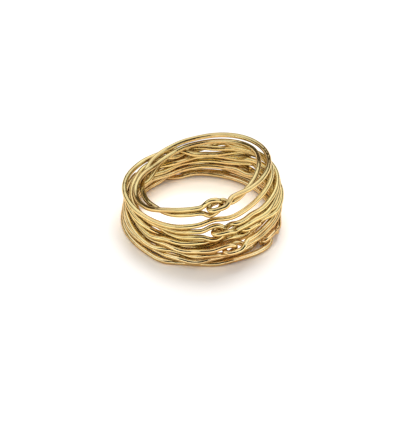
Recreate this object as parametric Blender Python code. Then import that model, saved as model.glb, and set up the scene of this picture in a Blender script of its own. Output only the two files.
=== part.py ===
"""Stackable ring: a bundle of five thin wire rings, each closed by a small eye and hook.

Every ring is one closed wire that runs two or three times round the finger. At the gap
in the ring the wire turns back in an eye on one side, and on the other side in a hook
that passes through that eye. The rings cross each other on their way round, so they
stay together as one bundle, with the lowest lying flat and the highest tilted.

The wires are laid out in two steps. Tables give each strand's height and offset round
the hoop, and then the strands push each other apart until every wire is clear of its
neighbours and of the surface that the bundle lies on.
"""
import math

import bpy
import numpy as np

# Sizes, in metres.
WIRE_DIAMETER = 0.00066
CLEARANCE = 0.00004  # air between neighbouring wires
HOOP_RADIUS = 0.0090  # centre line of an average turn
EYE_REACH = 0.00125  # from the middle of a knot to the tip of its eye
EYE_NECK = 0.0017  # from the middle of a knot to where its eye closes
EYE_SLACK = 0.00035  # room above and below the hook inside an eye
LEAD_IN = 0.0016  # length in which the two wires beside an eye settle
LEAD_OUT = 0.0013  # length in which the two wires beside a hook settle
FIRM_EDGE = 0.0030  # length over which the stiffness of a knot fades
LONGEST_SEGMENT = 0.00095

PITCH = WIRE_DIAMETER + CLEARANCE
HOOK_CENTRE = 0.8 * WIRE_DIAMETER  # middle of the hook's bend, past the middle of its knot
CROSSING_SPACE = 1.08 * PITCH  # between the middles of two strands that change places
PAIR_SPACE = 1.04 * PITCH  # between the middles of the two wires beside a knot
SIDES = 6  # of a wire's section, with a flat side down
MOST_TURN = math.radians(13)  # between two segments of a wire
STATIONS = 180  # places round the hoop where the wires are compared
BIN = 2 * math.pi / STATIONS
ROUNDS = 300
SAMPLE = 0.0003  # spacing of the points beside a knot

# Each strand goes once round the hoop. Its level above the floor and its offset outwards
# from the hoop radius are in wire pitches, at the left, front, right and back.
STRANDS = (
    # ring         strand   level: left front right back  offset: left front right back
    ("tilted_ring", "upper", (5.7, 11.0, 12.0, 8.6), (-1.0, -0.7, -1.1, -0.3)),
    ("tilted_ring", "lower", (6.3, 9.9, 12.0, 7.4), (-2.4, -0.7, -2.9, -0.4)),
    ("upper_ring", "upper", (5.3, 5.7, 8.0, 5.8), (-0.3, -0.3, 0.5, 0.0)),
    ("upper_ring", "lower", (3.9, 4.75, 6.9, 4.5), (-0.6, -0.1, 0.7, 0.2)),
    ("upper_ring", "free", (6.5, 7.1, 9.9, 6.0), (0.9, -0.4, -0.6, 0.0)),
    ("middle_ring", "upper", (3.8, 3.9, 6.3, 4.3), (-0.2, 0.1, 0.8, 0.0)),
    ("middle_ring", "lower", (3.0, 2.8, 4.8, 3.0), (-0.8, 0.2, 0.9, 0.1)),
    ("middle_ring", "free", (4.7, 3.4, 5.7, 3.2), (0.7, -0.9, -0.3, 1.1)),
    ("lower_ring", "upper", (2.4, 2.3, 4.4, 2.1), (-0.2, 0.4, 0.8, 0.0)),
    ("lower_ring", "lower", (1.4, 1.3, 3.3, 1.3), (0.3, 0.8, 0.9, 0.9)),
    ("lower_ring", "free", (2.9, 2.1, 4.3, 2.3), (0.7, -0.5, -0.2, 1.0)),
    ("base_ring", "upper", (0.95, 0.95, 1.5, 1.05), (0.8, 0.8, 0.7, 1.0)),
    ("base_ring", "lower", (0.0, 0.0, 0.0, 0.0), (1.2, 0.9, 0.9, 1.1)),
    ("base_ring", "free", (0.1, 0.1, 0.2, 0.1), (0.1, -0.2, -0.2, 0.0)),
)

# The knot of each ring: its azimuth and the lean of its eye in degrees, the length, neck
# and slack of the eye as shares of the sizes above, a lift and shift in wire pitches, and
# the side that the upper wire leaves the hook on: 1 outside, -1 inside.
KNOTS = {
    # ring          azimuth lean reach neck slack lift shift side
    "tilted_ring": (276.5, 0.0, 1.2, 0.7, 1.0, 0.0, 0.0, 1),
    "upper_ring": (279.5, -15.0, 1.0, 1.0, 0.53, 0.4, 0.0, -1),
    "middle_ring": (304.0, -20.0, 0.9, 1.0, 0.1, 0.9, -0.3, -1),
    "lower_ring": (287.0, 10.0, 0.9, 1.0, 0.02, 0.3, 0.0, 1),
    "base_ring": (322.0, -50.0, 1.0, 2.6, 0.1, 0.5, 0.0, -1),
}

# Where two strands of one ring change places: the azimuth of the crossing and half its
# length in degrees, and the two strands, counted from the ring's first.
CROSSINGS = {
    # ring          azimuth half strands
    "tilted_ring": (165.0, 35.0, 0, 1),
    "upper_ring": (90.0, 32.0, 1, 2),
    "middle_ring": (150.0, 35.0, 1, 2),
    "lower_ring": (222.0, 35.0, 1, 2),
    "base_ring": (115.0, 45.0, 1, 2),
}

GOLD = {
    # ring          red   green blue
    "tilted_ring": (0.83, 0.62, 0.30),
    "upper_ring": (0.80, 0.59, 0.28),
    "middle_ring": (0.82, 0.60, 0.27),
    "lower_ring": (0.79, 0.57, 0.26),
    "base_ring": (0.77, 0.56, 0.26),
}

RINGS = list(KNOTS)
RING_OF = np.array([RINGS.index(strand[0]) for strand in STRANDS])
IS_FREE = np.array([strand[1] == "free" for strand in STRANDS])
ANGLE = np.arange(STATIONS) * BIN
AHEAD = (np.arange(STATIONS) + 1) % STATIONS
BEHIND = (np.arange(STATIONS) - 1) % STATIONS


def smooth(t):
    """Rises from 0 to 1 with level ends."""
    t = np.clip(t, 0.0, 1.0)
    return t * t * (3 - 2 * t)


def wrapped(angle):
    return (angle + math.pi) % (2 * math.pi) - math.pi


def leaning(size, lean):
    """An offset outwards and upwards, of this size and lean from upright."""
    return np.stack([size * np.sin(lean), size * np.cos(lean)], -1)


def round_the_hoop(values):
    """A smooth wave through the values at the left, front, right and back."""
    left, front, right, back = values
    return ((left + front + right + back) / 4
            + (right - left) / 2 * np.cos(ANGLE) + (back - front) / 2 * np.sin(ANGLE)
            + (right + left - back - front) / 4 * np.cos(2 * ANGLE))


def strand_tracks():
    """Radius and height of each strand at each station, and its strand at the next one."""
    tracks = np.array([np.stack([HOOP_RADIUS + PITCH * round_the_hoop(offsets),
                                 WIRE_DIAMETER / 2 + PITCH * round_the_hoop(levels)], -1)
                       for ring, strand, levels, offsets in STRANDS])
    following = np.repeat(np.arange(len(STRANDS))[:, None], STATIONS, 1)
    for ring, (azimuth, half_width, one, two) in CROSSINGS.items():
        first = int(np.argmax(RING_OF == RINGS.index(ring)))
        one, two = one + first, two + first
        along = wrapped(ANGLE - math.radians(azimuth)) / math.radians(half_width)
        middle = (tracks[one] + tracks[two]) / 2
        apart = (tracks[one] - tracks[two]) / 2
        near = (1 + np.cos(np.clip(along, -1, 1) * math.pi)) / 2
        size = np.linalg.norm(apart, axis=1) * (1 - near) + CROSSING_SPACE / 2 * near
        lean = np.arctan2(apart[:, 0], apart[:, 1]) + math.pi * smooth((along + 1) / 2)
        apart = leaning(size, lean)
        past = (along > 0)[:, None]
        tracks[one] = np.where(past, middle - apart, middle + apart)
        tracks[two] = np.where(past, middle + apart, middle - apart)
        last = int(np.argmax(np.where(along <= 0, along, -np.inf)))
        following[one, last], following[two, last] = two, one
    return tracks, following


def eye_height(knot):
    """Half the height of the eye's centre line, which clears the hook inside it."""
    return 1.02 * PITCH + EYE_SLACK * knot[4]


def knot_pair(u, side, knot):
    """Half spacing and lean of a ring's two wires at u past its knot, and the knot's hold."""
    reach, neck, lean = EYE_REACH * knot[2], EYE_NECK * knot[3], math.radians(knot[1])
    closed = PAIR_SPACE / 2
    if side == "eye":
        height = eye_height(knot)
        tip = height * np.sqrt(np.clip(1 - (np.clip(u, 0, reach) / reach) ** 2, 0, 1))
        half = np.where(u > 0, tip, closed + (height - closed) * smooth(1 + u / neck))
        return half, np.full_like(u, lean), smooth(1 + (u + neck) / (2 * LEAD_IN))
    bend = np.clip((HOOK_CENTRE - u) / PITCH, 0, 1)
    start = reach + WIRE_DIAMETER / 2
    turn = smooth((u - start) / LEAD_OUT)
    half = PITCH * np.sqrt(1 - bend ** 2) * (1 - turn) + closed * turn
    hold = smooth(1 - (u - start - LEAD_OUT) / (2 * LEAD_OUT))
    return half, lean + knot[7] * (1 - turn) * math.pi / 2, hold


def arm(upper, lower, sign, u, side, knot):
    """Radius and height of one wire of the ring at u past its knot."""
    apart = (upper - lower) / 2
    size, own = np.linalg.norm(apart, axis=-1), np.arctan2(apart[..., 0], apart[..., 1])
    half, lean, hold = knot_pair(u, side, knot)
    lean = lean + wrapped(own - lean) * (1 - hold)
    return (upper + lower) / 2 + sign * leaning(size * (1 - hold) + half * hold, lean)


def wire_places(tracks):
    """Every place where wire crosses a station, and the strand that each belongs to."""
    places, owners = [], []
    step = BIN * HOOP_RADIUS
    for number, ring in enumerate(RINGS):
        mine = np.flatnonzero(RING_OF == number)
        knot = KNOTS[ring]
        reach, hook_tip = EYE_REACH * knot[2], HOOK_CENTRE - PITCH
        u = wrapped(ANGLE - math.radians(knot[0])) * HOOP_RADIUS
        upper, lower = tracks[mine[0]], tracks[mine[1]]
        middle, lean = (upper + lower) / 2, math.radians(knot[1])
        at_eye_tip = (u > reach - 1.2 * step) & (u < reach + 0.8 * step)
        for strand, sign in ((mine[0], 1), (mine[1], -1)):
            found = [
                (arm(upper, lower, sign, np.minimum(u, reach), "eye", knot), u <= reach),
                (arm(upper, lower, sign, np.maximum(u, hook_tip), "hook", knot), u >= hook_tip),
                (middle + leaning(sign * 0.75 * eye_height(knot), lean), at_eye_tip),
                (middle + leaning(sign * 0.3 * eye_height(knot), lean), at_eye_tip),
                (middle + leaning(sign * PITCH / 2, lean + knot[7] * math.pi / 2),
                 np.abs(u - hook_tip) < 1.2 * step),
            ]
            for place, valid in found:
                places.append(np.where(valid[:, None], place, np.nan))
                owners.append(strand)
        for strand in mine[2:]:
            places.append(tracks[strand])
            owners.append(strand)
    return np.array(places), np.array(owners)


def firm_stretches():
    """Where each ring's knot is, and how firmly it holds each strand together there."""
    zone = np.zeros((len(RINGS), STATIONS), bool)
    firm = np.zeros((len(STRANDS), STATIONS))
    for number, ring in enumerate(RINGS):
        knot = KNOTS[ring]
        u = wrapped(ANGLE - math.radians(knot[0])) * HOOP_RADIUS
        start = -EYE_NECK * knot[3] - 0.3 * LEAD_IN
        end = EYE_REACH * knot[2] + WIRE_DIAMETER / 2 + LEAD_OUT
        zone[number] = (u > start) & (u < end)
        firm[(RING_OF == number) & ~IS_FREE] = (smooth(1 - (start - u) / FIRM_EDGE)
                                                * smooth(1 - (u - end) / FIRM_EDGE))
    return zone, firm[..., None]


def close_pairs(places, owners, zone):
    """The pairs of places that could touch, with the station of each."""
    first, second = np.triu_indices(len(owners), 1)
    ring_a, ring_b = RING_OF[owners[first]], RING_OF[owners[second]]
    tied = (ring_a == ring_b) & ~IS_FREE[owners[first]] & ~IS_FREE[owners[second]]
    apart = np.linalg.norm(places[first] - places[second], axis=-1)
    wanted = (apart < 5 * PITCH) & (owners[first] != owners[second])[:, None]
    wanted &= ~(tied[:, None] & zone[ring_a])
    pair, station = np.nonzero(wanted)
    return first[pair], second[pair], station


def settled_strands():
    """The strands pushed clear of each other and of the floor, with their knots whole."""
    tracks, following = strand_tracks()
    before = np.zeros_like(following)
    for strand in range(len(STRANDS)):
        before[following[strand], AHEAD] = strand
    places, owners = wire_places(tracks)
    zone, firm = firm_stretches()
    one, two, station = close_pairs(places, owners, zone)
    strand_a, strand_b = owners[one], owners[two]
    start = places[one, station] - places[two, station]
    cell_a, cell_b = strand_a * STATIONS + station, strand_b * STATIONS + station
    cells = len(STRANDS) * STATIONS
    lowest = np.full((len(STRANDS), STATIONS), np.inf)
    for place, owner in zip(places, owners):
        lowest[owner] = np.fmin(lowest[owner], place[:, 1])
    loose = np.zeros_like(tracks)
    held = np.array([[PITCH * KNOTS[ring][6], PITCH * KNOTS[ring][5]] for ring in RINGS])
    for _ in range(ROUNDS):
        shift = loose * (1 - firm) + held[RING_OF][:, None] * firm
        away = start + shift[strand_a, station] - shift[strand_b, station]
        gap = np.linalg.norm(away, axis=1)
        short = np.clip(1.05 * PITCH - gap, 0, None)
        push = away / gap[:, None] * short[:, None] / 2
        total = np.stack([np.bincount(cell_a, push[:, axis], cells)
                          - np.bincount(cell_b, push[:, axis], cells) for axis in (0, 1)], -1)
        count = np.bincount(cell_a, short > 0, cells) + np.bincount(cell_b, short > 0, cells)
        total = (total / np.sqrt(np.maximum(count, 1))[:, None]).reshape(tracks.shape)
        total[..., 1] += np.clip(WIRE_DIAMETER / 2 - lowest - shift[..., 1], 0, None)
        for number in range(len(RINGS)):
            mine = (total * firm)[RING_OF == number]
            pushed = (np.abs(mine) > 1e-4 * PITCH).sum() / 2
            held[number] += mine.sum((0, 1)) / max(pushed, 1)
        spread = total * (1 - firm)
        for _ in range(20):
            spread = spread / 2 + spread[following, AHEAD] / 4 + spread[before, BEHIND] / 4
        loose += 1.7 * spread
    shift[..., 1] += np.clip(WIRE_DIAMETER / 2 - lowest - shift[..., 1], 0, None)
    return tracks + shift, following, before


def knot_arms(tracks, following, knot, mine):
    """Angle, radius and height along the four wire ends that meet in a ring's knot."""
    azimuth, reach = math.radians(knot[0]), EYE_REACH * knot[2]
    tips = np.sin(np.linspace(math.pi / 2, 0, 9))
    away = np.arange(SAMPLE, 3 * EYE_NECK + 2 * LEAD_IN, SAMPLE)

    def between(strand, u):
        place = (azimuth + u / HOOP_RADIUS) / BIN
        low = np.floor(place).astype(int)
        part = (place - low)[:, None]
        low, high = low % STATIONS, (low + 1) % STATIONS
        return tracks[strand][low] * (1 - part) + tracks[following[strand][low], high] * part

    arms = {}
    for side, u in (("eye", np.concatenate([reach * tips, -away])),
                    ("hook", np.concatenate([HOOK_CENTRE - PITCH * tips, HOOK_CENTRE + away]))):
        for strand, sign in ((mine[0], 1), (mine[1], -1)):
            places = arm(between(mine[0], u), between(mine[1], u), sign, u, side, knot)
            arms[side, strand] = np.column_stack([azimuth + u / HOOP_RADIUS, places])
    return arms


def ring_line(tracks, following, before, ring):
    """The closed centre line of one ring, followed from the tip of its eye."""
    mine = np.flatnonzero(RING_OF == RINGS.index(ring))
    azimuth = math.radians(KNOTS[ring][0])
    arms = knot_arms(tracks, following, KNOTS[ring], mine)
    strand, direction, goal = mine[0], -1, "hook"
    points = list(arms["eye", strand])
    while True:
        station = round(points[-1][0] / BIN) + direction
        while True:
            if (goal, strand) in arms:
                left = wrapped(station * BIN - azimuth) * -direction
                if 0 < left < abs(arms[goal, strand][-1][0] - azimuth) + 0.4 * BIN:
                    break
            spot = station % STATIONS
            points.append(np.array([station * BIN, *tracks[strand, spot]]))
            strand = (before if direction < 0 else following)[strand, spot]
            station += direction
        laps = round((points[-1][0] - arms[goal, strand][-1][0]) / (2 * math.pi))
        around = np.array([laps * 2 * math.pi, 0, 0])
        points += list(arms[goal, strand][::-1] + around)
        if goal == "eye":
            break
        strand = mine[0] + mine[1] - strand
        points += list((arms[goal, strand] + around)[1:])
        direction, goal = 1, "eye"
    angle, radius, height = np.array(points[:-1]).T
    return np.column_stack([radius * np.cos(angle), radius * np.sin(angle), height])


def thinned(points):
    """Keeps a point wherever the wire has turned or run on enough since the last one."""
    steps = np.roll(points, -1, 0) - points
    lengths = np.linalg.norm(steps, axis=1)
    steps /= lengths[:, None]
    bends = np.arccos(np.clip((steps * np.roll(steps, 1, 0)).sum(1), -1, 1))
    kept, run, turned = [points[0]], lengths[0], 0.0
    for point, bend, length in zip(points[1:], bends[1:], lengths[1:]):
        turned += bend
        if run > LONGEST_SEGMENT or turned > MOST_TURN:
            kept.append(point)
            run, turned = 0.0, 0.0
        run += length
    return np.array(kept)


def gold(name, colour):
    material = bpy.data.materials.new(name)
    material.use_nodes = True
    shader = material.node_tree.nodes["Principled BSDF"]
    shader.inputs["Base Color"].default_value = (*colour, 1.0)
    shader.inputs["Metallic"].default_value = 1.0
    shader.inputs["Roughness"].default_value = 0.16
    return material


def wire_ring(name, points, collection):
    """A closed wire with six sides, along these points."""
    curve = bpy.data.curves.new(name, "CURVE")
    curve.dimensions = "3D"
    curve.twist_mode = "Z_UP"
    curve.bevel_depth = WIRE_DIAMETER / 2
    curve.bevel_resolution = (SIDES - 4) // 2
    spline = curve.splines.new("POLY")
    spline.points.add(len(points) - 1)
    for slot, point in zip(spline.points, points):
        slot.co = (*point, 1.0)
    spline.use_cyclic_u = True
    curve.materials.append(gold(name + "_gold", GOLD[name]))
    ring = bpy.data.objects.new(name, curve)
    collection.objects.link(ring)
    return ring


def build():
    for old in list(bpy.data.objects):
        bpy.data.objects.remove(old)
    collection = bpy.data.collections.new("stackable_ring")
    bpy.context.scene.collection.children.link(collection)
    strands = settled_strands()
    lines = {ring: thinned(ring_line(*strands, ring)) for ring in RINGS}
    everything = np.concatenate(list(lines.values()))
    origin = (everything.min(0) + everything.max(0)) / 2
    origin[2] = everything[:, 2].min() - WIRE_DIAMETER / 2 * math.cos(math.pi / SIDES)
    for ring, line in lines.items():
        wire_ring(ring, line - origin, collection)


build()
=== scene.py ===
"""Looks of the stackable ring: a bundle of thin, polished, gold-filled wire rings.

The wires follow the same routes as the solids: the tables and functions of the layout
are the part's own. Each ring is drawn as one round wire with a slightly uneven hand-bent
surface, fine lines from the drawplate, rubbed patches, a little tarnish and painted shade
between the wires, and it replaces its six-sided solid. The gold is painted darker on the
upper rings and lighter on the lower, as shade. The bundle lies on a white floor in soft
studio light, with a painted pool of light on the floor inside the hoop.
"""
import math

import bpy
import numpy as np
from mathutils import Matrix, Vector
from mathutils.kdtree import KDTree


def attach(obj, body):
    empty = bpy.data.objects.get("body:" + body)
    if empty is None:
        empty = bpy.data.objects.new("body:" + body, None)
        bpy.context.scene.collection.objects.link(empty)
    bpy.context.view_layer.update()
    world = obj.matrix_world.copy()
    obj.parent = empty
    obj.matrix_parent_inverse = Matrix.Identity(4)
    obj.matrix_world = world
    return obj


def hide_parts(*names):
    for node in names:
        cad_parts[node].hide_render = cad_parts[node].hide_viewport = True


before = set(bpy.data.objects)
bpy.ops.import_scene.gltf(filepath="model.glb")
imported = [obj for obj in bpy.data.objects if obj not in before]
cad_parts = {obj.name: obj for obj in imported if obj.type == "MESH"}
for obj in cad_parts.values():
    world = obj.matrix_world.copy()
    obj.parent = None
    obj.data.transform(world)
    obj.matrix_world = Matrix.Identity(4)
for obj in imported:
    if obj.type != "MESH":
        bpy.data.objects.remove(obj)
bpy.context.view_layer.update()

# Sizes, in metres.
WIRE_DIAMETER = 0.00066
CLEARANCE = 0.00004  # air between neighbouring wires
HOOP_RADIUS = 0.0090  # centre line of an average turn
EYE_REACH = 0.00125  # from the middle of a knot to the tip of its eye
EYE_NECK = 0.0017  # from the middle of a knot to where its eye closes
EYE_SLACK = 0.00035  # room above and below the hook inside an eye
LEAD_IN = 0.0016  # length in which the two wires beside an eye settle
LEAD_OUT = 0.0013  # length in which the two wires beside a hook settle
FIRM_EDGE = 0.0030  # length over which the stiffness of a knot fades

PITCH = WIRE_DIAMETER + CLEARANCE
HOOK_CENTRE = 0.8 * WIRE_DIAMETER  # middle of the hook's bend, past the middle of its knot
CROSSING_SPACE = 1.08 * PITCH  # between the middles of two strands that change places
PAIR_SPACE = 1.04 * PITCH  # between the middles of the two wires beside a knot
STATIONS = 180  # places round the hoop where the wires are compared
BIN = 2 * math.pi / STATIONS
ROUNDS = 300
SAMPLE = 0.0003  # spacing of the points beside a knot

# Each strand goes once round the hoop. Its level above the floor and its offset outwards
# from the hoop radius are in wire pitches, at the left, front, right and back.
STRANDS = (
    # ring         strand   level: left front right back  offset: left front right back
    ("tilted_ring", "upper", (5.7, 11.0, 12.0, 8.6), (-1.0, -0.7, -1.1, -0.3)),
    ("tilted_ring", "lower", (6.3, 9.9, 12.0, 7.4), (-2.4, -0.7, -2.9, -0.4)),
    ("upper_ring", "upper", (5.3, 5.7, 8.0, 5.8), (-0.3, -0.3, 0.5, 0.0)),
    ("upper_ring", "lower", (3.9, 4.75, 6.9, 4.5), (-0.6, -0.1, 0.7, 0.2)),
    ("upper_ring", "free", (6.5, 7.1, 9.9, 6.0), (0.9, -0.4, -0.6, 0.0)),
    ("middle_ring", "upper", (3.8, 3.9, 6.3, 4.3), (-0.2, 0.1, 0.8, 0.0)),
    ("middle_ring", "lower", (3.0, 2.8, 4.8, 3.0), (-0.8, 0.2, 0.9, 0.1)),
    ("middle_ring", "free", (4.7, 3.4, 5.7, 3.2), (0.7, -0.9, -0.3, 1.1)),
    ("lower_ring", "upper", (2.4, 2.3, 4.4, 2.1), (-0.2, 0.4, 0.8, 0.0)),
    ("lower_ring", "lower", (1.4, 1.3, 3.3, 1.3), (0.3, 0.8, 0.9, 0.9)),
    ("lower_ring", "free", (2.9, 2.1, 4.3, 2.3), (0.7, -0.5, -0.2, 1.0)),
    ("base_ring", "upper", (0.95, 0.95, 1.5, 1.05), (0.8, 0.8, 0.7, 1.0)),
    ("base_ring", "lower", (0.0, 0.0, 0.0, 0.0), (1.2, 0.9, 0.9, 1.1)),
    ("base_ring", "free", (0.1, 0.1, 0.2, 0.1), (0.1, -0.2, -0.2, 0.0)),
)

# The knot of each ring: its azimuth and the lean of its eye in degrees, the length, neck
# and slack of the eye as shares of the sizes above, a lift and shift in wire pitches, and
# the side that the upper wire leaves the hook on: 1 outside, -1 inside.
KNOTS = {
    # ring          azimuth lean reach neck slack lift shift side
    "tilted_ring": (276.5, 0.0, 1.2, 0.7, 1.0, 0.0, 0.0, 1),
    "upper_ring": (279.5, -15.0, 1.0, 1.0, 0.53, 0.4, 0.0, -1),
    "middle_ring": (304.0, -20.0, 0.9, 1.0, 0.1, 0.9, -0.3, -1),
    "lower_ring": (287.0, 10.0, 0.9, 1.0, 0.02, 0.3, 0.0, 1),
    "base_ring": (322.0, -50.0, 1.0, 2.6, 0.1, 0.5, 0.0, -1),
}

# Where two strands of one ring change places: the azimuth of the crossing and half its
# length in degrees, and the two strands, counted from the ring's first.
CROSSINGS = {
    # ring          azimuth half strands
    "tilted_ring": (165.0, 35.0, 0, 1),
    "upper_ring": (90.0, 32.0, 1, 2),
    "middle_ring": (150.0, 35.0, 1, 2),
    "lower_ring": (222.0, 35.0, 1, 2),
    "base_ring": (115.0, 45.0, 1, 2),
}

RINGS = list(KNOTS)
RING_OF = np.array([RINGS.index(strand[0]) for strand in STRANDS])
IS_FREE = np.array([strand[1] == "free" for strand in STRANDS])
ANGLE = np.arange(STATIONS) * BIN
AHEAD = (np.arange(STATIONS) + 1) % STATIONS
BEHIND = (np.arange(STATIONS) - 1) % STATIONS


def smooth(t):
    """Rises from 0 to 1 with level ends."""
    t = np.clip(t, 0.0, 1.0)
    return t * t * (3 - 2 * t)


def wrapped(angle):
    return (angle + math.pi) % (2 * math.pi) - math.pi


def leaning(size, lean):
    """An offset outwards and upwards, of this size and lean from upright."""
    return np.stack([size * np.sin(lean), size * np.cos(lean)], -1)


def round_the_hoop(values):
    """A smooth wave through the values at the left, front, right and back."""
    left, front, right, back = values
    return ((left + front + right + back) / 4
            + (right - left) / 2 * np.cos(ANGLE) + (back - front) / 2 * np.sin(ANGLE)
            + (right + left - back - front) / 4 * np.cos(2 * ANGLE))


def strand_tracks():
    """Radius and height of each strand at each station, and its strand at the next one."""
    tracks = np.array([np.stack([HOOP_RADIUS + PITCH * round_the_hoop(offsets),
                                 WIRE_DIAMETER / 2 + PITCH * round_the_hoop(levels)], -1)
                       for ring, strand, levels, offsets in STRANDS])
    following = np.repeat(np.arange(len(STRANDS))[:, None], STATIONS, 1)
    for ring, (azimuth, half_width, one, two) in CROSSINGS.items():
        first = int(np.argmax(RING_OF == RINGS.index(ring)))
        one, two = one + first, two + first
        along = wrapped(ANGLE - math.radians(azimuth)) / math.radians(half_width)
        middle = (tracks[one] + tracks[two]) / 2
        apart = (tracks[one] - tracks[two]) / 2
        near = (1 + np.cos(np.clip(along, -1, 1) * math.pi)) / 2
        size = np.linalg.norm(apart, axis=1) * (1 - near) + CROSSING_SPACE / 2 * near
        lean = np.arctan2(apart[:, 0], apart[:, 1]) + math.pi * smooth((along + 1) / 2)
        apart = leaning(size, lean)
        past = (along > 0)[:, None]
        tracks[one] = np.where(past, middle - apart, middle + apart)
        tracks[two] = np.where(past, middle + apart, middle - apart)
        last = int(np.argmax(np.where(along <= 0, along, -np.inf)))
        following[one, last], following[two, last] = two, one
    return tracks, following


def eye_height(knot):
    """Half the height of the eye's centre line, which clears the hook inside it."""
    return 1.02 * PITCH + EYE_SLACK * knot[4]


def knot_pair(u, side, knot):
    """Half spacing and lean of a ring's two wires at u past its knot, and the knot's hold."""
    reach, neck, lean = EYE_REACH * knot[2], EYE_NECK * knot[3], math.radians(knot[1])
    closed = PAIR_SPACE / 2
    if side == "eye":
        height = eye_height(knot)
        tip = height * np.sqrt(np.clip(1 - (np.clip(u, 0, reach) / reach) ** 2, 0, 1))
        half = np.where(u > 0, tip, closed + (height - closed) * smooth(1 + u / neck))
        return half, np.full_like(u, lean), smooth(1 + (u + neck) / (2 * LEAD_IN))
    bend = np.clip((HOOK_CENTRE - u) / PITCH, 0, 1)
    start = reach + WIRE_DIAMETER / 2
    turn = smooth((u - start) / LEAD_OUT)
    half = PITCH * np.sqrt(1 - bend ** 2) * (1 - turn) + closed * turn
    hold = smooth(1 - (u - start - LEAD_OUT) / (2 * LEAD_OUT))
    return half, lean + knot[7] * (1 - turn) * math.pi / 2, hold


def arm(upper, lower, sign, u, side, knot):
    """Radius and height of one wire of the ring at u past its knot."""
    apart = (upper - lower) / 2
    size, own = np.linalg.norm(apart, axis=-1), np.arctan2(apart[..., 0], apart[..., 1])
    half, lean, hold = knot_pair(u, side, knot)
    lean = lean + wrapped(own - lean) * (1 - hold)
    return (upper + lower) / 2 + sign * leaning(size * (1 - hold) + half * hold, lean)


def wire_places(tracks):
    """Every place where wire crosses a station, and the strand that each belongs to."""
    places, owners = [], []
    step = BIN * HOOP_RADIUS
    for number, ring in enumerate(RINGS):
        mine = np.flatnonzero(RING_OF == number)
        knot = KNOTS[ring]
        reach, hook_tip = EYE_REACH * knot[2], HOOK_CENTRE - PITCH
        u = wrapped(ANGLE - math.radians(knot[0])) * HOOP_RADIUS
        upper, lower = tracks[mine[0]], tracks[mine[1]]
        middle, lean = (upper + lower) / 2, math.radians(knot[1])
        at_eye_tip = (u > reach - 1.2 * step) & (u < reach + 0.8 * step)
        for strand, sign in ((mine[0], 1), (mine[1], -1)):
            found = [
                (arm(upper, lower, sign, np.minimum(u, reach), "eye", knot), u <= reach),
                (arm(upper, lower, sign, np.maximum(u, hook_tip), "hook", knot), u >= hook_tip),
                (middle + leaning(sign * 0.75 * eye_height(knot), lean), at_eye_tip),
                (middle + leaning(sign * 0.3 * eye_height(knot), lean), at_eye_tip),
                (middle + leaning(sign * PITCH / 2, lean + knot[7] * math.pi / 2),
                 np.abs(u - hook_tip) < 1.2 * step),
            ]
            for place, valid in found:
                places.append(np.where(valid[:, None], place, np.nan))
                owners.append(strand)
        for strand in mine[2:]:
            places.append(tracks[strand])
            owners.append(strand)
    return np.array(places), np.array(owners)


def firm_stretches():
    """Where each ring's knot is, and how firmly it holds each strand together there."""
    zone = np.zeros((len(RINGS), STATIONS), bool)
    firm = np.zeros((len(STRANDS), STATIONS))
    for number, ring in enumerate(RINGS):
        knot = KNOTS[ring]
        u = wrapped(ANGLE - math.radians(knot[0])) * HOOP_RADIUS
        start = -EYE_NECK * knot[3] - 0.3 * LEAD_IN
        end = EYE_REACH * knot[2] + WIRE_DIAMETER / 2 + LEAD_OUT
        zone[number] = (u > start) & (u < end)
        firm[(RING_OF == number) & ~IS_FREE] = (smooth(1 - (start - u) / FIRM_EDGE)
                                                * smooth(1 - (u - end) / FIRM_EDGE))
    return zone, firm[..., None]


def close_pairs(places, owners, zone):
    """The pairs of places that could touch, with the station of each."""
    first, second = np.triu_indices(len(owners), 1)
    ring_a, ring_b = RING_OF[owners[first]], RING_OF[owners[second]]
    tied = (ring_a == ring_b) & ~IS_FREE[owners[first]] & ~IS_FREE[owners[second]]
    apart = np.linalg.norm(places[first] - places[second], axis=-1)
    wanted = (apart < 5 * PITCH) & (owners[first] != owners[second])[:, None]
    wanted &= ~(tied[:, None] & zone[ring_a])
    pair, station = np.nonzero(wanted)
    return first[pair], second[pair], station


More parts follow.
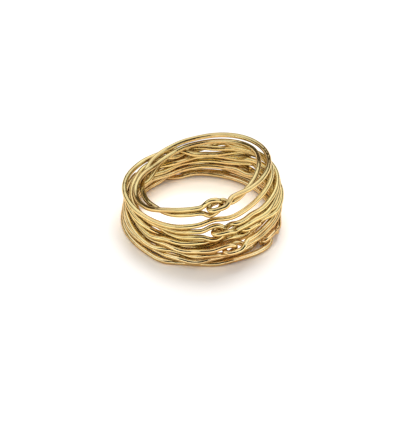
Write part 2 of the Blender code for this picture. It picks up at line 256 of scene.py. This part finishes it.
def settled_strands():
    """The strands pushed clear of each other and of the floor, with their knots whole."""
    tracks, following = strand_tracks()
    before = np.zeros_like(following)
    for strand in range(len(STRANDS)):
        before[following[strand], AHEAD] = strand
    places, owners = wire_places(tracks)
    zone, firm = firm_stretches()
    one, two, station = close_pairs(places, owners, zone)
    strand_a, strand_b = owners[one], owners[two]
    start = places[one, station] - places[two, station]
    cell_a, cell_b = strand_a * STATIONS + station, strand_b * STATIONS + station
    cells = len(STRANDS) * STATIONS
    lowest = np.full((len(STRANDS), STATIONS), np.inf)
    for place, owner in zip(places, owners):
        lowest[owner] = np.fmin(lowest[owner], place[:, 1])
    loose = np.zeros_like(tracks)
    held = np.array([[PITCH * KNOTS[ring][6], PITCH * KNOTS[ring][5]] for ring in RINGS])
    for _ in range(ROUNDS):
        shift = loose * (1 - firm) + held[RING_OF][:, None] * firm
        away = start + shift[strand_a, station] - shift[strand_b, station]
        gap = np.linalg.norm(away, axis=1)
        short = np.clip(1.05 * PITCH - gap, 0, None)
        push = away / gap[:, None] * short[:, None] / 2
        total = np.stack([np.bincount(cell_a, push[:, axis], cells)
                          - np.bincount(cell_b, push[:, axis], cells) for axis in (0, 1)], -1)
        count = np.bincount(cell_a, short > 0, cells) + np.bincount(cell_b, short > 0, cells)
        total = (total / np.sqrt(np.maximum(count, 1))[:, None]).reshape(tracks.shape)
        total[..., 1] += np.clip(WIRE_DIAMETER / 2 - lowest - shift[..., 1], 0, None)
        for number in range(len(RINGS)):
            mine = (total * firm)[RING_OF == number]
            pushed = (np.abs(mine) > 1e-4 * PITCH).sum() / 2
            held[number] += mine.sum((0, 1)) / max(pushed, 1)
        spread = total * (1 - firm)
        for _ in range(20):
            spread = spread / 2 + spread[following, AHEAD] / 4 + spread[before, BEHIND] / 4
        loose += 1.7 * spread
    shift[..., 1] += np.clip(WIRE_DIAMETER / 2 - lowest - shift[..., 1], 0, None)
    return tracks + shift, following, before


def knot_arms(tracks, following, knot, mine):
    """Angle, radius and height along the four wire ends that meet in a ring's knot."""
    azimuth, reach = math.radians(knot[0]), EYE_REACH * knot[2]
    tips = np.sin(np.linspace(math.pi / 2, 0, 9))
    away = np.arange(SAMPLE, 3 * EYE_NECK + 2 * LEAD_IN, SAMPLE)

    def between(strand, u):
        place = (azimuth + u / HOOP_RADIUS) / BIN
        low = np.floor(place).astype(int)
        part = (place - low)[:, None]
        low, high = low % STATIONS, (low + 1) % STATIONS
        return tracks[strand][low] * (1 - part) + tracks[following[strand][low], high] * part

    arms = {}
    for side, u in (("eye", np.concatenate([reach * tips, -away])),
                    ("hook", np.concatenate([HOOK_CENTRE - PITCH * tips, HOOK_CENTRE + away]))):
        for strand, sign in ((mine[0], 1), (mine[1], -1)):
            places = arm(between(mine[0], u), between(mine[1], u), sign, u, side, knot)
            arms[side, strand] = np.column_stack([azimuth + u / HOOP_RADIUS, places])
    return arms


def ring_line(tracks, following, before, ring):
    """The closed centre line of one ring, followed from the tip of its eye."""
    mine = np.flatnonzero(RING_OF == RINGS.index(ring))
    azimuth = math.radians(KNOTS[ring][0])
    arms = knot_arms(tracks, following, KNOTS[ring], mine)
    strand, direction, goal = mine[0], -1, "hook"
    points = list(arms["eye", strand])
    while True:
        station = round(points[-1][0] / BIN) + direction
        while True:
            if (goal, strand) in arms:
                left = wrapped(station * BIN - azimuth) * -direction
                if 0 < left < abs(arms[goal, strand][-1][0] - azimuth) + 0.4 * BIN:
                    break
            spot = station % STATIONS
            points.append(np.array([station * BIN, *tracks[strand, spot]]))
            strand = (before if direction < 0 else following)[strand, spot]
            station += direction
        laps = round((points[-1][0] - arms[goal, strand][-1][0]) / (2 * math.pi))
        around = np.array([laps * 2 * math.pi, 0, 0])
        points += list(arms[goal, strand][::-1] + around)
        if goal == "eye":
            break
        strand = mine[0] + mine[1] - strand
        points += list((arms[goal, strand] + around)[1:])
        direction, goal = 1, "eye"
    angle, radius, height = np.array(points[:-1]).T
    return np.column_stack([radius * np.cos(angle), radius * np.sin(angle), height])


# Sizes of what only the looks need, in metres unless a comment says otherwise.
WIRE_SIDES = 24
SECTION_SPACING = 0.00016  # along a wire
EASING = 3  # times that a wire's small corners are relaxed
UNEVEN = 0.014  # share by which the wire's radius wavers
FLATTENED = 0.4  # share of that which presses the wire oval
GIRTH_WAVES = (9, 17, 31, 47, 83)  # waves of its thickness in one ring
FLAT_SIDE_WAVES = (2, 5, 7)  # waves of the side that is pressed in
FLAT_SIDE_SWING = 3.0  # radians that this side wanders each way
FLAT_SIDE_START = 6.0  # radians within which it starts
FLOOR_SIZE = 0.9

# The camera: its height angle, distance and the photo's scale where the bundle lies.
IMAGE_WIDTH, IMAGE_HEIGHT = 410, 423  # pixels
CAMERA_ELEVATION = math.radians(37.0)
CAMERA_DISTANCE = 0.20
PIXELS_PER_METRE = 8040
SENSOR_WIDTH = 36.0  # millimetres, along the picture's longer side
CAMERA_CLIP = (0.01, 10.0)
AIM_HEIGHT = 0.004  # above the hoop's middle on the floor
AIM_PIXEL = (202.0, 192.5)  # where the photo shows that point

# Gold of each ring, linear: clean and warmed, painted darker on the upper rings and lighter on
# the lower as shade; and the share of painted shade between its wires.
GOLD = {
    "tilted_ring": ((0.77, 0.63, 0.31), (0.76, 0.55, 0.26), 0.95),
    "upper_ring": ((0.85, 0.71, 0.35), (0.87, 0.65, 0.31), 0.85),
    "middle_ring": ((0.92, 0.78, 0.39), (0.93, 0.67, 0.33), 0.80),
    "lower_ring": ((0.94, 0.78, 0.42), (0.93, 0.66, 0.33), 0.70),
    "base_ring": ((0.97, 0.80, 0.46), (0.95, 0.68, 0.36), 0.50),
}
WARMED_SHARE = 0.8
TARNISH = (0.50, 0.36, 0.16)
TARNISH_SHARE = 0.25
CLEAN_ROUGHNESS = 0.012
DULLED_BY = 0.035
LINES_DULL_BY = 0.02
PATCH_SIZE = 0.0016
DENT_DEPTH = 0.000025
LINE_DEPTH = 0.000003
LINE_NOISE = (1.0, 3.0)  # scale and detail
DULLED_NOISE = (1.0, 4.0)  # scale in patches, and detail
DULLED_EDGES = (0.42, 0.68)  # noise at which a patch begins and is full
WARMED_NOISE = (0.45, 2.0)
WARMED_EDGES = (0.38, 0.66)
DENT_NOISE = (2.6, 1.0)

# Painted shade: darker where another wire's middle is near a spot one pitch out from the wire's
# own.
SHELTER_INNER = 0.00012  # that near, the place is fully sheltered
SHELTER_OUTER = 0.00068  # that far, it is open
SHADE_BETWEEN_WIRES = (0.27, 0.15, 0.03)
SHADE_UNEVEN = 0.4  # share of the painted shade that comes and goes with the rubbed patches

# Light: what the metal and the floor see of the room, and the soft box behind the bundle,
# in metres and watts. Angles are heights above the floor or distances from a direction.
ROOM_BRIGHT = 0.95
ROOM_DIM = 0.10
ROOM_DIM_BELOW = math.radians(20.0)
ROOM_BRIGHT_ABOVE = math.radians(28.0)
VIEWER_HEIGHT = math.radians(38.0)  # of the dim place round the viewer
VIEWER_OUTER = math.radians(36.0)
VIEWER_INNER = math.radians(28.0)
VIEWER_SHADE = 0.04  # share of the room's light that is left there
WINDOW = 2.0  # added to the room low down, except behind the bundle
WINDOW_TOP = math.radians(12.0)
WINDOW_FADE = math.radians(4.0)
WINDOW_SIDE = (0.4, -0.3)  # how far back and front its side edges fade out, of 1
GLOW = 0.45  # added to the room where the soft box is
GLOW_OUTER = math.radians(30.0)
GLOW_INNER = math.radians(12.0)
FILL = 0.79  # of the room on the floor
ROOM_COLOUR = (0.99, 1.0, 0.97)
DIM_COLOUR = (1.0, 0.80, 0.45)  # of the room's dim places
DIM_IS_WARM = 0.7  # brightness up to which that colour shows
FILL_COLOUR = (1.0, 0.98, 0.97)
THROWN = 2.2  # that the metal throws back on the floor
POOL = 0.5  # of light that the walls gather inside the hoop
POOL_COLOUR = (1.0, 0.93, 0.84)
POOL_INNER = 0.0070
POOL_OUTER = 0.0092
FLOOR_COLOUR = (0.86, 0.855, 0.855)
# The floor as only the metal's reflections show it: painted shade near the bundle, painted warm
# brightness beyond.
FLOOR_NEAR = (0.58, 0.48, 0.34)  # painted shade: the floor beside the bundle, as the metal's reflections show it
FLOOR_FAR = (1.0, 0.91, 0.74)
FLOOR_DIM_INSIDE = 0.012
FLOOR_BRIGHT_BEYOND = 0.028
PAPER_ROUGHNESS = 0.9
PAPER_SHINE = 0.1
SOFT_BOX_COLOUR = (1.0, 0.99, 0.98)
SOFT_BOX_SIZE = (0.36, 0.28)
SOFT_BOX_PLACE = (0.06, 0.34, 0.56)
SOFT_BOX_POWER = 3.3


def evenly_spaced(points):
    """The closed line through these points, resampled on smooth curves."""
    lengths = np.linalg.norm(np.roll(points, -1, 0) - points, axis=1)
    reached = np.concatenate([[0], np.cumsum(lengths)])
    count = int(reached[-1] / SECTION_SPACING)
    wanted = np.arange(count) * reached[-1] / count
    low = np.clip(np.searchsorted(reached, wanted, "right") - 1, 0, len(points) - 1)
    part = ((wanted - reached[low]) / lengths[low])[:, None]
    p0, p1, p2, p3 = (points[(low + k) % len(points)] for k in (-1, 0, 1, 2))
    return p1 + part / 2 * (p2 - p0 + part * (2 * p0 - 5 * p1 + 4 * p2 - p3
                                              + part * (3 * (p1 - p2) + p3 - p0)))


def eased(points):
    """The closed line with its small corners relaxed, as bent wire springs back."""
    for _ in range(EASING):
        points = points / 2 + (np.roll(points, 1, 0) + np.roll(points, -1, 0)) / 4
    return points


def section_frames(points):
    """Two directions across the wire at every point, turned as little as possible."""
    forward = np.roll(points, -1, 0) - np.roll(points, 1, 0)
    forward /= np.linalg.norm(forward, axis=1)[:, None]
    across = np.zeros_like(forward)
    across[0] = np.cross(forward[0], (0, 0, 1))
    across[0] /= np.linalg.norm(across[0])
    for i in range(1, len(points)):
        across[i] = across[i - 1] - forward[i] * across[i - 1].dot(forward[i])
        across[i] /= np.linalg.norm(across[i])
    over = np.cross(forward, across)
    last = across[-1] - forward[0] * across[-1].dot(forward[0])
    twist = math.atan2(last.dot(over[0]), last.dot(across[0]))
    turn = -twist * np.arange(len(points))[:, None] / len(points)
    return (across * np.cos(turn) + over * np.sin(turn),
            over * np.cos(turn) - across * np.sin(turn))


def wavering(count, rounds, draw):
    """A gentle, uneven wave round a ring, between about -1 and 1."""
    way = 2 * math.pi * np.arange(count)[:, None] / count
    waves = [np.cos(turns * way + draw.uniform(0, 2 * math.pi)) for turns in rounds]
    return sum(waves) / len(waves)


def sheltered(spots, centres):
    """How much another wire covers each spot on the wires, from 0 to 1."""
    near = KDTree(len(centres))
    for number, centre in enumerate(centres):
        near.insert(centre, number)
    near.balance()
    reach = np.array([near.find(spot)[2] for spot in spots])
    return np.clip((SHELTER_OUTER - reach) / (SHELTER_OUTER - SHELTER_INNER), 0, 1)


def round_wire(name, points, centres, seed):
    """A closed round wire along these points, with its length and girth as UVs."""
    across, over = section_frames(points)
    draw = np.random.default_rng(seed)
    count = len(points)
    side = np.arange(WIRE_SIDES)[None]
    girth = 2 * math.pi * side / WIRE_SIDES
    flat_side = (draw.uniform(0, FLAT_SIDE_START)
                 + FLAT_SIDE_SWING * wavering(count, FLAT_SIDE_WAVES, draw))
    uneven = (wavering(count, GIRTH_WAVES, draw)
              + FLATTENED * np.cos(2 * girth + flat_side) - 1)
    radius = WIRE_DIAMETER / 2 * (1 + UNEVEN * uneven)
    spokes = (np.cos(girth)[..., None] * across[:, None]
              + np.sin(girth)[..., None] * over[:, None])
    vertices = (points[:, None] + spokes * radius[..., None]).reshape(-1, 3)
    here = np.arange(count)[:, None] * WIRE_SIDES
    there = (here + WIRE_SIDES) % (count * WIRE_SIDES)
    beside = (side + 1) % WIRE_SIDES
    faces = np.stack([here + side, here + beside, there + beside, there + side], -1)
    mesh = bpy.data.meshes.new(name)
    mesh.from_pydata(vertices.tolist(), [], faces.reshape(-1, 4).tolist())
    mesh.shade_smooth()
    # How near other wires lie round each spot, for the painted shade between the wires.
    spots = (points[:, None] + spokes * PITCH).reshape(-1, 3)
    between_wires = mesh.attributes.new("between_wires", "FLOAT", "POINT")
    between_wires.data.foreach_set("value", sheltered(spots, centres))
    length = np.linalg.norm(np.roll(points, -1, 0) - points, axis=1).sum()
    start, end = (np.broadcast_to((np.arange(count) + k)[:, None] / count, (count, WIRE_SIDES))
                  for k in (0, 1))
    low, high = (np.broadcast_to((side + k) / WIRE_SIDES, (count, WIRE_SIDES)) for k in (0, 1))
    corners = np.stack([np.stack([start, start, end, end], -1),
                        np.stack([low, high, high, low], -1)], -1)
    corners = corners * (length / (math.pi * WIRE_DIAMETER), 1)
    mesh.uv_layers.new(name="along_and_round").data.foreach_set("uv", corners.ravel())
    wire = bpy.data.objects.new(name, mesh)
    bpy.context.scene.collection.objects.link(wire)
    return wire


def maths(tree, operation, *inputs):
    """A Math node with these sockets or numbers, and its output."""
    node = tree.nodes.new("ShaderNodeMath")
    node.operation = operation
    for place, given in zip(node.inputs, inputs):
        if isinstance(given, (int, float)):
            place.default_value = given
        else:
            tree.links.new(given, place)
    return node.outputs[0]


def noise(tree, vector, scale, detail):
    """A Noise Texture read at this vector."""
    node = tree.nodes.new("ShaderNodeTexNoise")
    node.inputs["Scale"].default_value = scale
    node.inputs["Detail"].default_value = detail
    tree.links.new(vector, node.inputs["Vector"])
    return node.outputs["Fac"]


def between(tree, given, low, high):
    """Rises from 0 to 1, with level ends, as the given value goes from low to high."""
    node = tree.nodes.new("ShaderNodeMapRange")
    node.interpolation_type = "SMOOTHSTEP"
    node.inputs["From Min"].default_value = low
    node.inputs["From Max"].default_value = high
    tree.links.new(given, node.inputs["Value"])
    return node.outputs["Result"]


def group_of(name, inputs, outputs):
    """An empty shader node group with these named inputs and outputs."""
    group = bpy.data.node_groups.new(name, "ShaderNodeTree")
    for label, start in inputs.items():
        socket = group.interface.new_socket(label, in_out="INPUT", socket_type="NodeSocketFloat")
        socket.default_value = start
    for label in outputs:
        group.interface.new_socket(label, in_out="OUTPUT", socket_type="NodeSocketFloat")
    given, result = group.nodes.new("NodeGroupInput"), group.nodes.new("NodeGroupOutput")
    return group, given.outputs, result.inputs


def drawn_wire_group():
    """Fine lines left by the drawplate: long along the wire and narrow round it."""
    group, given, result = group_of("Drawn Wire", {"Fineness": 9.0, "Run": 0.35}, ["Lines"])
    uv = group.nodes.new("ShaderNodeUVMap")
    uv.uv_map = "along_and_round"
    parts = group.nodes.new("ShaderNodeSeparateXYZ")
    group.links.new(uv.outputs["UV"], parts.inputs["Vector"])
    turn = maths(group, "MULTIPLY", parts.outputs["Y"], 2 * math.pi)
    place = group.nodes.new("ShaderNodeCombineXYZ")
    group.links.new(maths(group, "MULTIPLY", parts.outputs["X"], given["Run"]), place.inputs["X"])
    for axis, wave in (("Y", "COSINE"), ("Z", "SINE")):
        side = maths(group, "MULTIPLY", maths(group, wave, turn), given["Fineness"])
        group.links.new(side, place.inputs[axis])
    group.links.new(noise(group, place.outputs["Vector"], *LINE_NOISE), result["Lines"])
    return group


def wear_and_painted_shade_group():
    """Where handling has dulled and warmed the metal, the painted shade between the wires, and
    the dents of bending it.
    """
    group, given, result = group_of("Wear And Painted Shade", {"Patch Size": 1.0},
                                    ["Dulled", "Warmed", "Painted Shade", "Dents"])
    place = group.nodes.new("ShaderNodeNewGeometry").outputs["Position"]
    per_metre = maths(group, "DIVIDE", 1.0, given["Patch Size"])
    scaled = group.nodes.new("ShaderNodeVectorMath")
    scaled.operation = "SCALE"
    group.links.new(place, scaled.inputs["Vector"])
    group.links.new(per_metre, scaled.inputs["Scale"])
    vector = scaled.outputs["Vector"]
    dulled = between(group, noise(group, vector, *DULLED_NOISE), *DULLED_EDGES)
    group.links.new(dulled, result["Dulled"])
    warmed = between(group, noise(group, vector, *WARMED_NOISE), *WARMED_EDGES)
    group.links.new(warmed, result["Warmed"])
    # Painted shade between the wires: stronger where other wires lie close, partly patchy with
    # the rubbed patches.
    covered = group.nodes.new("ShaderNodeAttribute")
    covered.attribute_name = "between_wires"
    patchy = maths(group, "MULTIPLY_ADD", dulled, SHADE_UNEVEN, 1 - SHADE_UNEVEN)
    group.links.new(maths(group, "MULTIPLY", covered.outputs["Fac"], patchy), result["Painted Shade"])
    group.links.new(noise(group, vector, *DENT_NOISE), result["Dents"])
    return group


def mixed_colour(tree, share, one, two):
    """A Mix node between two colours or sockets, by this share."""
    node = tree.nodes.new("ShaderNodeMix")
    node.data_type = "RGBA"
    tree.links.new(share, node.inputs["Factor"])
    for place, given in ((node.inputs["A"], one), (node.inputs["B"], two)):
        if isinstance(given, tuple):
            place.default_value = (*given, 1.0)
        else:
            tree.links.new(given, place)
    return node.outputs["Result"]


def polished_gold(name, clean, warm, shade_share, lines, wear_and_shade):
    """Gold-filled wire: bright and drawn smooth, a little dulled and warmed by handling, with
    painted shade between the wires.
    """
    material = bpy.data.materials.new(name)
    material.use_nodes = True
    tree = material.node_tree
    shader = tree.nodes["Principled BSDF"]
    shader.inputs["Metallic"].default_value = 1.0
    drawn = tree.nodes.new("ShaderNodeGroup")
    drawn.node_tree = lines
    worn_and_shaded = tree.nodes.new("ShaderNodeGroup")
    worn_and_shaded.node_tree = wear_and_shade
    worn_and_shaded.inputs["Patch Size"].default_value = PATCH_SIZE
    warmed = maths(tree, "MULTIPLY", worn_and_shaded.outputs["Warmed"], WARMED_SHARE)
    colour = mixed_colour(tree, warmed, clean, warm)
    dulled = maths(tree, "MULTIPLY", worn_and_shaded.outputs["Dulled"], TARNISH_SHARE)
    colour = mixed_colour(tree, dulled, colour, TARNISH)
    # Painted shade: dark brown mixed in where other wires lie close.
    shade_mix = maths(tree, "MULTIPLY", worn_and_shaded.outputs["Painted Shade"], shade_share)
    tree.links.new(mixed_colour(tree, shade_mix, colour, SHADE_BETWEEN_WIRES), shader.inputs["Base Color"])
    dull = maths(tree, "MULTIPLY_ADD", worn_and_shaded.outputs["Dulled"], DULLED_BY, CLEAN_ROUGHNESS)
    rough = maths(tree, "MULTIPLY_ADD", drawn.outputs["Lines"], LINES_DULL_BY, dull)
    tree.links.new(rough, shader.inputs["Roughness"])
    dents = tree.nodes.new("ShaderNodeBump")
    dents.inputs["Distance"].default_value = DENT_DEPTH
    tree.links.new(worn_and_shaded.outputs["Dents"], dents.inputs["Height"])
    scratch = tree.nodes.new("ShaderNodeBump")
    scratch.inputs["Distance"].default_value = LINE_DEPTH
    tree.links.new(drawn.outputs["Lines"], scratch.inputs["Height"])
    tree.links.new(dents.outputs["Normal"], scratch.inputs["Normal"])
    tree.links.new(scratch.outputs["Normal"], shader.inputs["Normal"])
    return material


def white_floor():
    """A large white sheet just under the bundle, with a painted pool of light glowing inside the
    hoop and painted shade near the bundle where the metal reflects it.
    """
    mesh = bpy.data.meshes.new("white_floor")
    half = FLOOR_SIZE / 2
    mesh.from_pydata([(-half, -half, 0), (half, -half, 0), (half, half, 0), (-half, half, 0)], [],
                     [(0, 1, 2, 3)])
    floor = bpy.data.objects.new("white_floor", mesh)
    bpy.context.scene.collection.objects.link(floor)
    material = bpy.data.materials.new("white_paper")
    material.use_nodes = True
    tree = material.node_tree
    shader = tree.nodes["Principled BSDF"]
    glossy = tree.nodes.new("ShaderNodeLightPath").outputs["Is Glossy Ray"]
    distance = tree.nodes.new("ShaderNodeVectorMath")
    distance.operation = "LENGTH"
    tree.links.new(tree.nodes.new("ShaderNodeNewGeometry").outputs["Position"],
                   distance.inputs[0])
    # Painted shade and reflection: the metal's reflections see the floor dark near the bundle and
    # bright and warm beyond.
    far = between(tree, distance.outputs["Value"], FLOOR_DIM_INSIDE, FLOOR_BRIGHT_BEYOND)
    reflected = mixed_colour(tree, far, FLOOR_NEAR, FLOOR_FAR)
    tree.links.new(mixed_colour(tree, glossy, FLOOR_COLOUR, reflected),
                   shader.inputs["Base Color"])
    # Painted pool of light: the floor glows inside the hoop.
    pooled = between(tree, distance.outputs["Value"], POOL_OUTER, POOL_INNER)
    tree.links.new(maths(tree, "MULTIPLY", pooled, POOL), shader.inputs["Emission Strength"])
    shader.inputs["Emission Color"].default_value = (*POOL_COLOUR, 1.0)
    shader.inputs["Roughness"].default_value = PAPER_ROUGHNESS
    shader.inputs["Specular IOR Level"].default_value = PAPER_SHINE
    mesh.materials.append(material)


def studio_light():
    """What the metal and the floor see of the room, and the soft box behind the bundle.

    The metal sees a bright ceiling, a dim band below it and round the viewer, a bright
    window low down and the glow of the soft box. The floor gets an even light from the
    room. What comes off the metal onto the floor is strengthened, because few of the
    rays find it. The camera sees white.
    """
    world = bpy.data.worlds.new("studio")
    bpy.context.scene.world = world
    world.use_nodes = True
    tree = world.node_tree
    background = tree.nodes["Background"]
    direction = tree.nodes.new("ShaderNodeTexCoord").outputs["Generated"]
    parts = tree.nodes.new("ShaderNodeSeparateXYZ")
    tree.links.new(direction, parts.inputs["Vector"])
    height = between(tree, parts.outputs["Z"], math.sin(ROOM_DIM_BELOW),
                     math.sin(ROOM_BRIGHT_ABOVE))
    room = maths(tree, "MULTIPLY_ADD", height, ROOM_BRIGHT - ROOM_DIM, ROOM_DIM)
    toward = tree.nodes.new("ShaderNodeVectorMath")
    toward.operation = "DOT_PRODUCT"
    toward.inputs[1].default_value = (0, -math.cos(VIEWER_HEIGHT), math.sin(VIEWER_HEIGHT))
    tree.links.new(direction, toward.inputs[0])
    viewer = between(tree, toward.outputs["Value"], math.cos(VIEWER_OUTER),
                     math.cos(VIEWER_INNER))
    shade = maths(tree, "MULTIPLY_ADD", viewer, VIEWER_SHADE - 1, 1.0)
    lit = maths(tree, "MULTIPLY", room, shade)
    above = tree.nodes.new("ShaderNodeVectorMath")
    above.operation = "DOT_PRODUCT"
    above.inputs[1].default_value = Vector(SOFT_BOX_PLACE).normalized()
    tree.links.new(direction, above.inputs[0])
    glow = between(tree, above.outputs["Value"], math.cos(GLOW_OUTER), math.cos(GLOW_INNER))
    lit = maths(tree, "MULTIPLY_ADD", glow, GLOW, lit)
    low = between(tree, parts.outputs["Z"], math.sin(WINDOW_TOP),
                  math.sin(WINDOW_TOP - WINDOW_FADE))
    in_front = between(tree, parts.outputs["Y"], *WINDOW_SIDE)
    window = maths(tree, "MULTIPLY", low, in_front)
    lit = maths(tree, "MULTIPLY_ADD", window, WINDOW, lit)
    path = tree.nodes.new("ShaderNodeLightPath").outputs
    colour = mixed_colour(tree, between(tree, lit, 0.0, DIM_IS_WARM), DIM_COLOUR, ROOM_COLOUR)
    tree.links.new(mixed_colour(tree, path["Is Diffuse Ray"], colour, FILL_COLOUR),
                   background.inputs["Color"])
    thrown = maths(tree, "MULTIPLY", path["Diffuse Depth"], THROWN)
    lit = maths(tree, "MULTIPLY", maths(tree, "MAXIMUM", lit, thrown), path["Is Glossy Ray"])
    fill = maths(tree, "MULTIPLY", path["Is Diffuse Ray"], FILL)
    lit = maths(tree, "MAXIMUM", lit, fill)
    tree.links.new(maths(tree, "MAXIMUM", lit, path["Is Camera Ray"]),
                   background.inputs["Strength"])

    lamp = bpy.data.lights.new("soft_box", "AREA")
    lamp.shape = "RECTANGLE"
    lamp.size, lamp.size_y = SOFT_BOX_SIZE
    lamp.energy = SOFT_BOX_POWER
    lamp.color = SOFT_BOX_COLOUR
    box = bpy.data.objects.new("soft_box", lamp)
    box.visible_glossy = False
    box.location = SOFT_BOX_PLACE
    box.rotation_euler = (-Vector(SOFT_BOX_PLACE)).to_track_quat("-Z", "Y").to_euler()
    bpy.context.scene.collection.objects.link(box)


def photo_camera(hoop_middle):
    """The camera at the photo's height and scale, aimed so that the bundle lies where it does."""
    tilt_back, tilt_up = math.cos(CAMERA_ELEVATION), math.sin(CAMERA_ELEVATION)
    right = (IMAGE_WIDTH / 2 - AIM_PIXEL[0]) / PIXELS_PER_METRE
    down = (IMAGE_HEIGHT / 2 - AIM_PIXEL[1]) / PIXELS_PER_METRE
    aim = hoop_middle + Vector((right, -down * tilt_up, AIM_HEIGHT - down * tilt_back))
    data = bpy.data.cameras.new("photo_camera")
    data.sensor_width = SENSOR_WIDTH
    data.lens = SENSOR_WIDTH * CAMERA_DISTANCE * PIXELS_PER_METRE / IMAGE_HEIGHT
    data.clip_start, data.clip_end = CAMERA_CLIP
    camera = bpy.data.objects.new("photo_camera", data)
    camera.location = aim + CAMERA_DISTANCE * Vector((0, -tilt_back, tilt_up))
    camera.rotation_euler = (math.pi / 2 - CAMERA_ELEVATION, 0, 0)
    bpy.context.scene.collection.objects.link(camera)
    bpy.context.scene.camera = camera


def gold_rings():
    """The five wire rings in place of their solids. Returns the hoop's middle on the floor."""
    strands = settled_strands()
    lines = {ring: eased(evenly_spaced(ring_line(*strands, ring))) for ring in RINGS}
    everything = np.concatenate(list(lines.values()))
    origin = (everything.min(0) + everything.max(0)) / 2
    origin[2] = everything[:, 2].min() - WIRE_DIAMETER / 2
    centres = everything - origin
    lines_group, shade_and_wear_group = drawn_wire_group(), wear_and_painted_shade_group()
    for number, (ring, line) in enumerate(lines.items()):
        wire = round_wire(ring + "_wire", line - origin, centres, number)
        # Each ring's gold carries painted shade: darker on the upper rings, with more painted
        # shade between their wires.
        clean, warm, shade_share = GOLD[ring]
        wire.data.materials.append(polished_gold(ring + "_gold", clean, warm, shade_share,
                                                 lines_group, shade_and_wear_group))
        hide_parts(ring)
        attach(wire, "root")
    return Vector((-origin[0], -origin[1], -origin[2]))


hoop_middle = gold_rings()
white_floor()
studio_light()
photo_camera(hoop_middle)
bpy.context.scene.view_settings.view_transform = "Standard"
